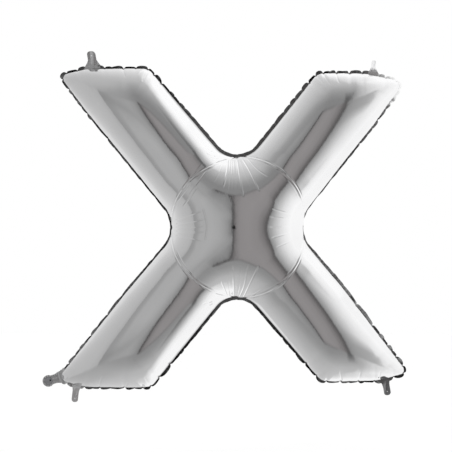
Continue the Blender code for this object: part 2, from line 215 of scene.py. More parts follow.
def filled_shape():
    """How far the filled sheet stands out, on the coarse grid of each patch."""
    n, m = COARSE_ACROSS, COARSE_ALONG
    plan, grids, count = plan_of(n, m)
    # a soap film over the plan, held at the border and at the folds
    corners, load = [], []
    for number, grid in enumerate(grids):
        a, b = grid[:-1, :-1].ravel(), grid[:-1, 1:].ravel()
        c, d = grid[1:, 1:].ravel(), grid[1:, :-1].ravel()
        for tri in ((a, b, c), (a, c, d), (b, c, d), (b, d, a)):
            corners.append(np.stack(tri, 1))
            load.append(np.full(len(a), DOME_LOAD if number == 0 else 1.0))
    corners, load = np.concatenate(corners), np.concatenate(load)
    p = plan[corners]
    b = np.stack([p[:, 1, 1] - p[:, 2, 1], p[:, 2, 1] - p[:, 0, 1], p[:, 0, 1] - p[:, 1, 1]], 1)
    c = np.stack([p[:, 2, 0] - p[:, 1, 0], p[:, 0, 0] - p[:, 2, 0], p[:, 1, 0] - p[:, 0, 0]], 1)
    area = np.abs(c[:, 2] * b[:, 1] - c[:, 1] * b[:, 2]) / 2
    keep = area > 1e-12
    corners, load, b, c, area = corners[keep], load[keep], b[keep], c[keep], area[keep]
    local = (b[:, :, None] * b[:, None, :] + c[:, :, None] * c[:, None, :]) / (8 * area)[:, None, None]
    stiff = np.zeros((count, count))
    np.add.at(stiff, (corners[:, :, None], corners[:, None, :]), local)
    force = np.zeros(count)
    np.add.at(force, corners, (load * area / 6)[:, None])
    film, held = np.zeros(count), np.zeros(count, bool)
    for grid in grids[1:]:
        # a fold follows the round of its stroke, a little over it
        near = plan[grid[m // 3, [0, -1]]].mean(0)
        far = plan[grid[2 * m // 3, [0, -1]]].mean(0)
        axis = (far - near) / np.linalg.norm(far - near)
        line = plan[grid[0]] - near
        off = line[:, 0] * axis[1] - line[:, 1] * axis[0]
        bulge = STROKE_HALF ** 2 - off ** 2
        bulge = 0.5 * (bulge + np.sqrt(bulge ** 2 + 0.0011 ** 2))
        share = np.clip(1 - (off / np.where(off * off[0] > 0, off[0], off[-1])) ** 2, 0, 1)
        flank = CREASE_FLANK ** 2 * 4 * share * (1 - share)
        film[grid[0]] = (bulge * np.minimum(1, 6 * share) + CREASE_LIFT ** 2 * share + flank) / 2
        held[grid[0]] = True
    for grid in grids[1:]:
        for line in (grid[:, 0], grid[:, -1], grid[-1]):
            film[line] = 0.0
            held[line] = True
    free = ~held
    force -= stiff[:, held] @ film[held]
    film[free] = np.linalg.solve(stiff[np.ix_(free, free)], force[free])
    height = FULLNESS * np.sqrt(2 * np.maximum(film, 0.0))
    # the strokes' ends are drawn in more than a soap film is
    for grid in grids[1:]:
        end = along(plan[grid[-1]], np.linspace(0, 1, 121))
        own = grid[1:]
        gap = np.linalg.norm(plan[own][:, :, None] - end, axis=3).min(2)
        height[own] *= 1 - END_DROP * np.exp(-(gap / 0.062) ** 2)
    return [height[grid] for grid in grids]


def spline_weights(coarse, fine):
    """Weights that lead from a row of coarse + 1 heights to fine + 1 heights
    on the smoothest curve through them, with no bend at its ends."""
    size = coarse + 1
    balance, change = np.eye(size), np.zeros((size, size))
    for i in range(1, coarse):
        balance[i, i - 1:i + 2] = (1, 4, 1)
        change[i, i - 1:i + 2] = (6, -12, 6)
    bend = np.linalg.solve(balance, change)
    w = np.zeros((fine + 1, size))
    for k in range(fine + 1):
        x = k * coarse / fine
        i = min(int(x), coarse - 1)
        t = x - i
        w[k, i] += 1 - t
        w[k, i + 1] += t
        w[k] += ((1 - t) ** 3 - (1 - t)) / 6 * bend[i] + (t ** 3 - t) / 6 * bend[i + 1]
    return w


def fine_sheet(heights, n, m):
    """The filled sheet on the fine grid: points, quads per patch, grids."""
    across = spline_weights(COARSE_ACROSS, n)
    down = spline_weights(COARSE_ALONG, m)
    plan, grids, count = plan_of(n, m)
    points = np.zeros((count, 3))
    points[:, [0, 2]] = plan
    for k, (grid, patch) in enumerate(zip(grids, heights)):
        fine = (across if k == 0 else down) @ patch @ across.T
        first = 1 if k else 0
        points[grid[first:], 1] = fine[first:]
    points[:, 1] = np.maximum(points[:, 1], 0.0)
    # the crossing falls off faster towards the four crotches than it does
    # towards the strokes
    radius = np.hypot(plan[:, 0], plan[:, 1])
    turn = np.arctan2(plan[:, 1], plan[:, 0])
    window = np.clip((0.240 - radius) / 0.070, 0, 1)
    window = window * window * (3 - 2 * window)
    low = np.clip(points[:, 1] / 0.070, 0, 1)
    low = low * low * (3 - 2 * low)
    four = np.clip((radius - 0.055) / 0.070, 0, 1)
    four = four * four * (3 - 2 * four)
    points[:, 1] -= LOBE_DROP * radius ** 2 * (1 - four * np.sin(2 * turn) ** 2) * window * low
    quads = []
    for grid in grids:
        q = np.stack([grid[:-1, :-1], grid[:-1, 1:], grid[1:, 1:], grid[1:, :-1]], -1).reshape(-1, 4)
        a, b, d = points[q[:, 0]], points[q[:, 1]], points[q[:, 3]]
        turn = np.cross((b - a)[:, [0, 2]], (d - a)[:, [0, 2]])
        if turn.sum() < 0:
            q = q[:, ::-1]
        quads.append(q)
    return points, quads, grids


def normals_of(points, quads):
    """Unit normals at the points, on the side of growing height."""
    a, b, c, d = (points[quads[:, k]] for k in range(4))
    face = np.cross(c - a, d - b)
    out = np.zeros_like(points)
    for k in range(4):
        np.add.at(out, quads[:, k], face)
    out /= np.maximum(np.linalg.norm(out, axis=1), 1e-12)[:, None]
    if out[:, 1].sum() < 0:
        out = -out
    return out


def waves(points, seed, count, shortest, longest):
    """A smooth uneven field of about unit height: a sum of slanted waves."""
    rng = np.random.default_rng(seed)
    total = np.zeros(len(points))
    for _ in range(count):
        way = rng.normal(size=3)
        way /= np.linalg.norm(way)
        length = math.exp(rng.uniform(math.log(shortest), math.log(longest)))
        total += np.sin(points @ way * (2 * math.pi / length) + rng.uniform(0, 2 * math.pi))
    return total / math.sqrt(count / 2)


# --------------------------------------------------------------------- rim
# Where the weld is pinched, along each stroke's border, and how hard.
# columns: stroke, place seen from the front (column, row), strength
PINCHES = (
    ("top_left", 87, 114, 0.6), ("top_left", 107, 139.5, 0.4), ("top_left", 66, 92, 0.8),
    ("top_left", 60, 80, 1.0), ("top_left", 66, 71, 0.8), ("top_left", 77, 68, 0.8),
    ("top_left", 105, 66, 0.7), ("top_left", 124, 67, 1.0), ("top_left", 136, 66, 0.6),
    ("top_left", 149, 68, 0.9), ("top_left", 158, 72, 1.0), ("top_left", 164, 82, 0.8),
    ("top_right", 309, 83, 0.9), ("top_right", 314, 73.5, 1.0), ("top_right", 323, 72, 1.0),
    ("top_right", 336, 70.5, 0.8), ("top_right", 349, 71.5, 1.0), ("top_right", 362, 70.5, 0.7),
    ("top_right", 386, 74.5, 0.8), ("top_right", 398, 79, 1.0), ("top_right", 401, 90, 0.9),
    ("top_right", 392, 104, 0.9), ("top_right", 379, 121, 0.7), ("top_right", 361, 145, 0.5),
    ("bottom_right", 357, 303.5, 0.5), ("bottom_right", 374, 324, 0.7),
    ("bottom_right", 389, 343.5, 0.9), ("bottom_right", 399, 354, 0.9),
    ("bottom_right", 406, 363, 1.0), ("bottom_right", 404, 373, 1.0),
    ("bottom_right", 394, 380, 0.8), ("bottom_right", 374, 383.5, 0.7),
    ("bottom_right", 358, 384.5, 0.8), ("bottom_right", 340, 384, 0.9),
    ("bottom_right", 326, 384, 0.8), ("bottom_right", 313, 378, 0.8),
    ("bottom_right", 303, 365, 0.8),
    ("bottom_left", 172, 365, 0.8), ("bottom_left", 161, 378, 1.0), ("bottom_left", 152, 388, 0.9),
    ("bottom_left", 143, 390, 0.7), ("bottom_left", 125, 390.5, 1.0), ("bottom_left", 100, 390, 0.8),
    ("bottom_left", 84, 389, 0.7), ("bottom_left", 66, 386, 0.8), ("bottom_left", 59, 378, 0.9),
    ("bottom_left", 67, 362, 0.8), ("bottom_left", 91, 335.5, 0.6), ("bottom_left", 107, 314, 0.5),
)


class Rim:
    """One stroke's border: a dense path from crotch to crotch, its outward
    directions and its pinches."""

    def __init__(self, stroke):
        side_a, side_b, end = stroke_border(SEAM_WIDTH, stroke)
        path = np.concatenate([side_a[:-1], end[:-1], side_b[::-1]])
        keep = np.concatenate([[True], np.linalg.norm(np.diff(path, axis=0), axis=1) > 1e-7])
        path = path[keep]
        self.name = stroke[0]
        self.length = lengths(path)[-1]
        self.count = int(self.length / 0.0008)
        self.path = along(path, np.linspace(0, 1, self.count + 1))
        self.s = np.linspace(0, self.length, self.count + 1)
        way = np.gradient(self.path, axis=0)
        way /= np.linalg.norm(way, axis=1)[:, None]
        self.out = np.stack([-way[:, 1], way[:, 0]], 1)      # outside, clockwise
        a, e = lengths(side_a)[-1], lengths(end)[-1]
        self.end_from, self.end_to = a, a + e
        found = []
        for name, column, row, strength in PINCHES:
            if name == self.name:
                gap = np.linalg.norm(self.path - spot(column, row), axis=1)
                found.append((self.s[int(np.argmin(gap))], strength))
        # between the marked ones, and down the sides, weaker ones at uneven steps
        rng = np.random.default_rng(len(self.name) + int(1000 * self.length))
        s, extra = 0.05, []
        while s < self.length - 0.05:
            near = min(abs(s - f[0]) for f in found)
            at_end = self.end_from - 0.16 < s < self.end_to + 0.16
            if near > (0.017 if at_end else 0.028):
                extra.append((s, (0.35 if at_end else 0.13) * rng.uniform(0.6, 1.2)))
            s += rng.uniform(0.018, 0.030) if at_end else rng.uniform(0.034, 0.060)
        marks = sorted(found + extra)
        self.pinch_s = np.array([0.0] + [f[0] for f in marks] + [self.length])
        self.pinch_a = np.array([0.15] + [f[1] for f in marks] + [0.15])

    def locate(self, places):
        """Nearest point of the path to each place: (distance, s)."""
        best = np.full(len(places), 1e9)
        where = np.zeros(len(places), int)
        thin = self.path[::8]
        for start in range(0, len(places), 20000):
            part = places[start:start + 20000]
            gap = ((part[:, None, :] - thin[None, :, :]) ** 2).sum(2)
            where[start:start + 20000] = gap.argmin(1) * 8
        s = np.zeros(len(places))
        for shift in range(-9, 10):
            k = np.clip(where + shift, 0, self.count - 1)
            a, b = self.path[k], self.path[k + 1]
            ab = b - a
            t = np.clip(((places - a) * ab).sum(1) / (ab * ab).sum(1), 0, 1)
            gap = np.linalg.norm(places - a - t[:, None] * ab, axis=1)
            closer = gap < best
            best = np.where(closer, gap, best)
            s = np.where(closer, (k + t) / self.count * self.length, s)
        return best, s

    def between(self, s):
        """For each s: the pinch before, its share of the way to the next and
        that scallop's length."""
        k = np.clip(np.searchsorted(self.pinch_s, s, side="right") - 1, 0, len(self.pinch_s) - 2)
        span = self.pinch_s[k + 1] - self.pinch_s[k]
        return k, np.clip((s - self.pinch_s[k]) / span, 0, 1), span


RIMS = [Rim(stroke) for stroke in STROKES]
ROUND = 0.105            # radius that a sheet leaves the weld with


def scallop(rim, s, depth):
    """How far the film stands out of its smooth shape near the weld: bows
    between the pinches that fade inwards, and a valley behind each pinch."""
    k, q, span = rim.between(s)
    force = rim.pinch_a[k] * (1 - q) + rim.pinch_a[k + 1] * q
    bow = np.sin(math.pi * q) ** 0.75
    out = 0.0030 * force * (bow - 0.75) * np.clip(span / 0.028, 0.4, 1.4) * np.exp(-depth / (0.42 * span))
    for side in (0, 1):
        strength = rim.pinch_a[k + side]
        gap = np.abs(s - rim.pinch_s[k + side])
        reach = 0.014 + 0.034 * strength
        wide = 0.0016 + 0.085 * depth
        out -= 0.0024 * strength * np.exp(-(gap / wide) ** 2) * np.exp(-depth / reach) * (
            1 - np.exp(-((depth + 0.002) / 0.004)))
    return out


def gather(rim, s, depth):
    """Fine parallel gathers that run in from the weld, closest together and
    deepest at the stroke's end and in the crotches."""
    from_end = np.maximum(np.maximum(rim.end_from - s, s - rim.end_to), 0)
    from_crotch = np.minimum(s, rim.length - s)
    force = 0.10 + 0.95 * np.exp(-(from_end / 0.07) ** 2) + 0.7 * np.exp(-(from_crotch / 0.030) ** 2)
    patchy = 0.65 + 0.35 * np.sin(s * 47 + 1.7) * np.sin(s * 21)
    lines = np.sin(2 * math.pi * s / 0.0068 + 2.6 * np.sin(s * 38)) + 0.6 * np.sin(2 * math.pi * s / 0.0113 + 1.1)
    return 0.000105 * force * patchy * lines * np.exp(-depth / 0.030) * (1 - np.exp(-((depth + 0.001) / 0.004)))


def sway(rim, s, side=1.0):
    """How far the weld itself wanders to the front (-) or the back (+)."""
    k, q, span = rim.between(s)
    force = rim.pinch_a[k] * (1 - q) + rim.pinch_a[k + 1] * q
    turn = np.where(k % 2 == 0, 1.0, -1.0)
    return 0.0013 * force * turn * np.sin(math.pi * q)


# ---------------------------------------------------------------- wrinkles
# Lines that stand out of the film or sink into it, as seen from the front.
# kind: groove sinks, ridge stands, pleat steps down on its right-hand side.
# columns: kind, half width mm, height mm, points (column, row)
WRINKLES = (
    # from the top crotch down over the dome
    ("groove", 2.0, 1.00, ((228, 160), (227, 172), (223, 190))),
    ("ridge", 1.8, 0.45, ((231.5, 160), (230.5, 176), (229, 194))),
    ("groove", 2.0, 1.10, ((237, 159), (239.5, 178), (243, 199))),
    ("groove", 2.0, 1.10, ((242, 159), (249, 172), (259, 194))),
    ("groove", 1.8, 0.60, ((247, 159), (256, 170), (268, 179))),
    ("ridge", 1.8, 0.40, ((235, 160), (235.8, 174), (237, 190))),
    ("ridge", 1.6, 0.30, ((233, 160), (233, 172), (232.5, 192))),
    ("groove", 1.6, 0.30, ((239.5, 160), (244, 174), (250, 190))),
    ("groove", 1.6, 0.25, ((224, 161), (220, 172), (214, 184))),
    # from the bottom crotch up
    ("groove", 2.0, 0.95, ((234, 298), (233.5, 282), (232.5, 264))),
    ("groove", 2.0, 0.95, ((239, 298), (244, 284), (247.5, 263))),
    ("groove", 2.0, 1.05, ((243, 298), (250, 281), (258.5, 263))),
    ("groove", 1.8, 0.60, ((228, 298), (224.5, 288), (221, 279))),
    ("groove", 1.8, 0.60, ((247, 299), (254, 293), (261, 288))),
    ("ridge", 1.6, 0.30, ((236.5, 298), (239, 284), (240, 266))),
    ("ridge", 1.6, 0.25, ((231, 298), (229, 286), (227, 268))),
    # from the left crotch to the right
    ("groove", 2.0, 1.10, ((176, 220), (188, 216), (204, 211))),
    ("groove", 2.0, 1.20, ((176, 224), (190, 222), (207, 219))),
    ("groove", 1.8, 0.90, ((176, 227), (190, 227), (206, 226))),
    ("groove", 2.0, 1.10, ((176, 231), (190, 232), (206, 232))),
    ("groove", 2.0, 1.00, ((176, 235), (188, 238), (205, 242))),
    ("ridge", 2.2, 0.80, ((203, 207), (206.5, 219), (207.5, 229), (205, 244))),
    # from the right crotch to the left
    ("groove", 1.8, 0.80, ((298, 216), (284, 213), (270, 209))),
    ("groove", 1.8, 0.90, ((298, 221), (284, 219), (268, 217))),
    ("groove", 1.8, 0.90, ((298, 226), (284, 227), (267, 227))),
    ("groove", 1.8, 0.90, ((298, 231), (284, 234), (269, 238))),
    ("groove", 1.6, 0.60, ((298, 236), (286, 242), (274, 247))),
    # folds behind the pinches of the left arm's outer edge and of the ends
    ("groove", 2.4, 0.80, ((87, 114), (92, 108), (101, 104))),
    ("groove", 2.2, 0.60, ((106, 139.5), (110, 135), (116, 132))),
    ("groove", 2.2, 0.60, ((71, 96), (76, 93), (82, 92))),
    ("groove", 2.2, 0.55, ((149, 70), (147, 77), (143, 84))),
    ("groove", 2.2, 0.50, ((336, 72), (336, 79), (338, 86))),
    ("groove", 2.2, 0.50, ((323, 73), (325, 80), (329, 87))),
    ("groove", 2.4, 0.60, ((391, 104), (384, 103), (377, 105))),
    ("groove", 2.2, 0.55, ((341, 383), (340, 376), (338, 368))),
    ("groove", 2.2, 0.50, ((397, 377), (391, 372), (384, 369))),
    ("groove", 2.2, 0.50, ((100, 389), (101, 382), (104, 374))),
    # across the left arm's fold
    ("groove", 1.8, 0.80, ((174, 207), (183, 196), (193, 184))),
    ("groove", 1.8, 0.60, ((183, 208), (191, 198), (199, 187))),
    ("groove", 1.6, 0.60, ((183, 190), (192, 178), (203, 165))),
    ("ridge", 1.6, 0.50, ((190, 196), (199, 183), (208, 171))),
    ("ridge", 1.6, 0.45, ((176, 202), (181, 195), (188, 186))),
    # along the lower left fold
    ("groove", 1.8, 0.80, ((177, 249), (184, 262), (196, 276))),
    ("ridge", 1.6, 0.50, ((186, 268), (193, 275), (201, 285))),
    # faint pleats in the ends
    ("pleat", 5.0, 0.12, ((90, 77), (95, 88), (100, 97), (106, 106))),
    ("pleat", 3.0, 0.10, ((352, 72), (354, 80), (354, 88))),
    # small crinkles beside the crotches
    ("groove", 1.5, 0.45, ((208, 150), (212, 153), (218, 154))),
    ("ridge", 1.5, 0.40, ((207, 154), (212, 156.5), (217, 157))),
    ("groove", 1.4, 0.35, ((210, 158.5), (214, 160), (219, 160))),
    ("groove", 1.5, 0.45, ((203, 303), (208, 301), (214, 300))),
    ("ridge", 1.5, 0.40, ((206, 306), (211, 304), (217, 303))),
    # crinkles at the ends
    ("groove", 2.2, 0.50, ((124, 68), (125, 74), (127, 80))),
    ("groove", 1.8, 0.40, ((312, 82), (316, 85), (320, 89))),
    ("groove", 2.4, 0.60, ((64, 361), (70, 364), (76, 368))),
    ("groove", 2.0, 0.45, ((82, 338), (87, 341), (91, 346))),
    ("groove", 2.0, 0.40, ((105, 308), (107, 312), (111, 317))),
    ("groove", 2.2, 0.55, ((126, 390), (127, 385), (129, 380))),
    ("groove", 2.2, 0.55, ((160, 378), (158, 374), (155, 370))),
    ("groove", 2.2, 0.50, ((358, 384), (358, 377), (359, 370))),
    ("groove", 2.2, 0.45, ((378, 382), (378, 376), (379, 369))),
    ("groove", 2.0, 0.45, ((206, 306), (210, 304), (214, 301))),
)


def smooth_path(points, step):
    """A smooth path through a few points, with points at about one step."""
    p = np.array(points, float)
    p = np.vstack([2 * p[0] - p[1], p, 2 * p[-1] - p[-2]])
    out = []
    for i in range(1, len(p) - 2):
        count = max(2, int(np.linalg.norm(p[i + 1] - p[i]) / step))
        for t in np.arange(count) / count:
            out.append(0.5 * (
                2 * p[i] + (p[i + 1] - p[i - 1]) * t
                + (2 * p[i - 1] - 5 * p[i] + 4 * p[i + 1] - p[i + 2]) * t * t
                + (3 * p[i] - p[i - 1] - 3 * p[i + 1] + p[i + 2]) * t ** 3))
    out.append(p[-2])
    return np.array(out)


def path_field(places, path):
    """For each place: signed distance to the path and share along it."""
    a, b = path[:-1], path[1:]
    ab = b - a
    lo, hi = path.min(0) - 0.03, path.max(0) + 0.03
    near = np.where(((places > lo) & (places < hi)).all(1))[0]
    rel = places[near, None, :] - a[None]
    t = np.clip((rel * ab).sum(2) / (ab * ab).sum(1), 0, 1)
    gap = np.linalg.norm(rel - t[..., None] * ab, axis=2)
    k = gap.argmin(1)
    rows = np.arange(len(near))
    side = np.sign(ab[k, 0] * rel[rows, k, 1] - ab[k, 1] * rel[rows, k, 0])
    share = (k + t[rows, k]) / len(a)
    return near, gap[rows, k] * side, share


def add_wrinkles(places, amount, table):
    for kind, wide, high, marks in table:
        path = smooth_path([spot(*m) for m in marks], 0.003)
        near, gap, share = path_field(places, path)
        taper = np.clip(np.minimum(share / 0.10, (1 - share) / 0.16), 0, 1)
        taper = taper * taper * (3 - 2 * taper)
        x = gap / (wide * 0.001)
        if kind == "pleat":
            shape = x * np.exp(-x * x / 2)
        else:
            shape = (1 - 0.6 * x * x) * np.exp(-x * x) * (-1 if kind == "groove" else 1)
        amount[near] += high * 0.001 * taper * shape


def add_folds(places, amount, seed):
    """The folds round the crossing: a thin raised crease with a furrow on
    its outer side, uneven along its way."""
    rng = np.random.default_rng(seed)
    for stroke in STROKES:
        side_a, side_b, _ = stroke_border(SEAM_WIDTH, stroke)
        path = along(crease(side_a[0], side_b[0], CREASE_RADII[stroke[0]]), np.linspace(0, 1, 49))
        near, gap, share = path_field(places, path)
        outer = np.hypot(*places[near].T) - np.hypot(*along(path, share).T)
        gap = np.abs(gap) * np.sign(outer)
        uneven = 0.75 + 0.25 * np.sin(share * rng.uniform(18, 26) + rng.uniform(0, 6)) * np.sin(share * 61)
        fade = np.clip(np.minimum(share, 1 - share) / 0.05, 0, 1)
        rise = 0.90 * np.exp(-np.abs(gap / 0.0015) ** 1.5)
        furrow = 0.85 * np.exp(-((gap - 0.0038) / 0.0016) ** 2)
        inner = 0.20 * np.exp(-((gap + 0.0044) / 0.0019) ** 2)
        amount[near] += 0.001 * uneven * fade * (rise - furrow - inner)


# ------------------------------------------------------------------- sheets
def finish_sheet(base, quads, grids, front):
    """The finished points of one sheet, with y to the front or the back."""
    points = base.copy()
    normal = normals_of(base, quads)
    places = base[:, [0, 2]]
    amount = np.zeros(len(base))
    shift = np.zeros(len(base))
    best = np.full(len(base), 1e9)
    for rim in RIMS:
        gap, s = rim.locate(places)
        closer = gap < best
        best = np.where(closer, gap, best)
        depth = ROUND * np.arccos(np.clip(1 - gap / ROUND, -1, 1))
        amount = np.where(closer, scallop(rim, s, depth) + gather(rim, s, depth), amount)
        shift = np.where(closer, sway(rim, s) * np.exp(-depth / 0.018), shift)
    seed = 3 if front else 17
    inside = 1 - np.exp(-best / 0.006)
    amount += inside * 0.00008 * waves(base, seed, 40, 0.070, 0.180)
    amount += inside * 0.000008 * waves(base, seed + 1, 60, 0.014, 0.030)
    if front:
        add_wrinkles(places, amount, WRINKLES)
        add_folds(places, amount, 5)
    else:
        mirrored = places * np.array([-1.0, 1.0])
        add_wrinkles(mirrored, amount, [w for i, w in enumerate(WRINKLES) if i % 4 != 1])
        add_folds(places, amount, 9)
    # at the weld both sheets move together, in its plane
    border = np.zeros(len(base), bool)
    for grid in grids[1:]:
        for line in (grid[:, 0], grid[:, -1], grid[-1]):
            border[line] = True
    flat = normal.copy()
    flat[:, 1] = 0
    flat /= np.maximum(np.linalg.norm(flat, axis=1), 1e-9)[:, None]
    normal[border] = flat[border]
    amount[border] = 0.0
    best_b = np.full(border.sum(), 1e9)
    value = np.zeros(border.sum())
    for rim in RIMS:
        gap, s = rim.locate(places[border])
        closer = gap < best_b
        best_b = np.where(closer, gap, best_b)
        value = np.where(closer, scallop(rim, s, np.zeros(len(s))), value)
    amount[border] = value
    points += normal * amount[:, None]
    side = -1.0 if front else 1.0
    points[:, 1] = side * np.where(border, 0.0, np.maximum(points[:, 1], 0.0)) + shift
    return points


def mesh_object(name, points, faces, mat):
    mesh = bpy.data.meshes.new(name)
    faces = faces.tolist() if isinstance(faces, np.ndarray) else [list(map(int, f)) for f in faces]
    mesh.from_pydata(np.asarray(points).tolist(), [], faces)
    mesh.update()
    mesh.validate()
    mesh.shade_smooth()
    mesh.materials.append(mat)
    obj = bpy.data.objects.new(name, mesh)
    bpy.context.scene.collection.objects.link(obj)
    return obj


# ---------------------------------------------------------------- materials
def node(tree, kind, **settings):
    n = tree.nodes.new(kind)
    for key, value in settings.items():
        setattr(n, key, value)
    return n


def foil_material(name, colour, roughness, crinkle, grain, with_painted_shade=False):
    """Metallised film: a mirror with a faint orange peel and fine crinkles,
    slightly cloudy where it has been handled.  With painted shade on, its grey
    is scaled from place to place by its points' painted shade and light."""
    mat = bpy.data.materials.new(name)
    mat.use_nodes = True
    tree = mat.node_tree
    shader = tree.nodes["Principled BSDF"]
    shader.inputs["Metallic"].default_value = 1.0
    place = node(tree, "ShaderNodeTexCoord")
    cloud = node(tree, "ShaderNodeTexNoise")
    cloud.inputs["Scale"].default_value = 9.0
    cloud.inputs["Detail"].default_value = 3.0
    tree.links.new(place.outputs["Object"], cloud.inputs["Vector"])
    tint = node(tree, "ShaderNodeValToRGB")
    tint.color_ramp.elements[0].position = 0.30
    tint.color_ramp.elements[0].color = (*[c * 0.955 for c in colour], 1)
    tint.color_ramp.elements[1].position = 0.70
    tint.color_ramp.elements[1].color = (*colour, 1)
    tree.links.new(cloud.outputs["Fac"], tint.inputs["Fac"])
    # painted shade: the points' painted_shade attribute scales the film's grey
    if with_painted_shade:
        painted_shade = node(tree, "ShaderNodeAttribute", attribute_name="painted_shade")
        shade_painting = node(tree, "ShaderNodeVectorMath", operation="SCALE")
        tree.links.new(tint.outputs["Color"], shade_painting.inputs[0])
        tree.links.new(painted_shade.outputs["Fac"], shade_painting.inputs["Scale"])
        tree.links.new(shade_painting.outputs["Vector"], shader.inputs["Base Color"])
    else:
        tree.links.new(tint.outputs["Color"], shader.inputs["Base Color"])
    smear = node(tree, "ShaderNodeTexNoise")
    smear.inputs["Scale"].default_value = 34.0
    smear.inputs["Detail"].default_value = 4.0
    tree.links.new(place.outputs["Object"], smear.inputs["Vector"])
    rough = node(tree, "ShaderNodeMapRange")
    rough.inputs["From Min"].default_value = 0.3
    rough.inputs["From Max"].default_value = 0.7
    rough.inputs["To Min"].default_value = roughness * 0.85
    rough.inputs["To Max"].default_value = roughness * 1.25
    tree.links.new(smear.outputs["Fac"], rough.inputs["Value"])
    tree.links.new(rough.outputs["Result"], shader.inputs["Roughness"])
    peel = node(tree, "ShaderNodeTexNoise")
    peel.inputs["Scale"].default_value = grain
    peel.inputs["Detail"].default_value = 2.0
    tree.links.new(place.outputs["Object"], peel.inputs["Vector"])
    bump = node(tree, "ShaderNodeBump")
    bump.inputs["Strength"].default_value = 1.0
    bump.inputs["Distance"].default_value = crinkle
    tree.links.new(peel.outputs["Fac"], bump.inputs["Height"])
    tree.links.new(bump.outputs["Normal"], shader.inputs["Normal"])
    return mat


SHEET = foil_material("silver_foil", (0.93, 0.93, 0.935), 0.080, 0.00005, 160.0)
# the border's film is white, and its painted shade and light give all of its grey
WELD = foil_material("silver_foil_weld", (1.0, 1.0, 1.0), 0.26, 0.00025, 420.0, True)
# the tabs and the neck are one foil in lit and shaded copies: tab_foil_pale has the sheet's grey, tab_foil is painted
# darker and the third copy much darker, as painted shade
SHADED_TAB = foil_material("tab_foil_painted_shade", (0.30, 0.30, 0.305), 0.26, 0.00040, 300.0)
TAB = foil_material("tab_foil", (0.70, 0.70, 0.705), 0.26, 0.00040, 300.0)
PALE_TAB = foil_material("tab_foil_pale", (0.93, 0.93, 0.935), 0.30, 0.00030, 300.0)


def film_material(name, light):
    """Grey plastic film, half clear and a little greasy.  Its grey is scaled by light, and a very low light makes a
    copy in painted shade.
    """
    mat = bpy.data.materials.new(name)
    mat.use_nodes = True
    tree = mat.node_tree
    shader = tree.nodes["Principled BSDF"]
    place = node(tree, "ShaderNodeTexCoord")
    cloud = node(tree, "ShaderNodeTexNoise")
    cloud.inputs["Scale"].default_value = 120.0
    cloud.inputs["Detail"].default_value = 3.0
    tree.links.new(place.outputs["Object"], cloud.inputs["Vector"])
    tint = node(tree, "ShaderNodeValToRGB")
    tint.color_ramp.elements[0].color = (0.10 * light, 0.10 * light, 0.105 * light, 1)
    tint.color_ramp.elements[1].color = (0.24 * light, 0.24 * light, 0.25 * light, 1)
    tree.links.new(cloud.outputs["Fac"], tint.inputs["Fac"])
    tree.links.new(tint.outputs["Color"], shader.inputs["Base Color"])
    shader.inputs["Roughness"].default_value = 0.35
    bump = node(tree, "ShaderNodeBump")
    bump.inputs["Distance"].default_value = 0.0002
    tree.links.new(cloud.outputs["Fac"], bump.inputs["Height"])
    tree.links.new(bump.outputs["Normal"], shader.inputs["Normal"])
    return mat


VALVE = film_material("valve_film", 1.0)
# painted shade: a near-black copy of the valve film, for the shade deep in the inlet
THROAT_SHADE = film_material("valve_film_painted_shade", 0.08)     # deep in the inlet


# ------------------------------------------------------------ the two sheets
def make_sheets():
    """Each sheet in five pieces that meet at the folds, which are sharp: the
    crossing and the four strokes."""
    patches = filled_shape()
    names = ["crossing"] + [stroke[0] for stroke in STROKES]
    for front in (True, False):
        base, quads, grids = fine_sheet(patches, *(FRONT_GRID if front else BACK_GRID))
        points = finish_sheet(base, np.concatenate(quads), grids, front)
        for name, q, grid in zip(names, quads, grids):
            used = grid.ravel()
            local = np.zeros(len(points), int)
            local[used] = np.arange(len(used))
            q = local[q]
            obj = mesh_object(("front_" if front else "back_") + name, points[used],
                              q[:, ::-1] if front else q, SHEET)
            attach(obj, "root")
            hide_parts("front_panel" if front else "back_panel")


# ---------------------------------------------------------------- the border
# How the welded border leans along each stroke, from crotch to crotch:
# 0 lies flat in the letter's plane, 90 points at the reader.
# columns: stroke, lean (degrees) at the first crotch, on side a near it, on
# side a near the end, at the end's start and its other end, on side b near
# it, on side b near the last crotch, and at that crotch
LEAN = {
    "top_right": (6, 8, 24, 48, -40, 62, 58, 14),
    "bottom_right": (14, 16, 52, 66, 62, 54, 44, 20),
    "bottom_left": (20, 40, 60, 66, 64, 66, 58, 46),
    "top_left": (46, 62, 68, 52, 52, 64, 8, 6),
}
# painted shade and painted light of its film at the same places, and past the
# middle of the end: the film's grey is set darker or lighter along the border so
# that it shows dark and light stretches, which stand for shade and reflections
# and are not the film's own colour
# columns: stroke, painted shade at the first crotch, on side a near it, on side a near
# the end, at the end's start, past its middle and further on, on side b near
# it, on side b near the last crotch, and at that crotch
PAINTED_SHADE = {
    "top_right": (0.22, 0.22, 0.22, 0.18, 0.22, 0.95, 0.80, 0.34, 0.30),
    "bottom_right": (0.30, 0.26, 0.42, 0.22, 0.24, 0.72, 0.20, 0.22, 0.24),
    "bottom_left": (0.24, 0.20, 0.20, 0.20, 0.42, 0.50, 0.75, 0.42, 0.24),
    "top_left": (0.24, 0.34, 0.72, 0.16, 0.16, 0.16, 0.20, 0.28, 0.24),
}
# where it lies flat, at the roots of the tabs and of the neck
# columns: stroke, x, z, half length
FLAT_PARTS = (
    ("top_left", -0.3930, 0.4453, 0.024), ("top_right", 0.3765, 0.4303, 0.018),
    ("bottom_left", -0.4382, -0.4385, 0.017), ("bottom_left", -0.4857, -0.4102, 0.020),
    ("bottom_right", 0.4095, -0.4220, 0.018),
)
# where it is turned to the back, so that it mirrors the white on the right, and where its film is painted nearly white
# as a painted reflection of that white
# columns: stroke, x, z, half length
TURNED_BACK = (("top_right", 0.4620, 0.3960, 0.050),)


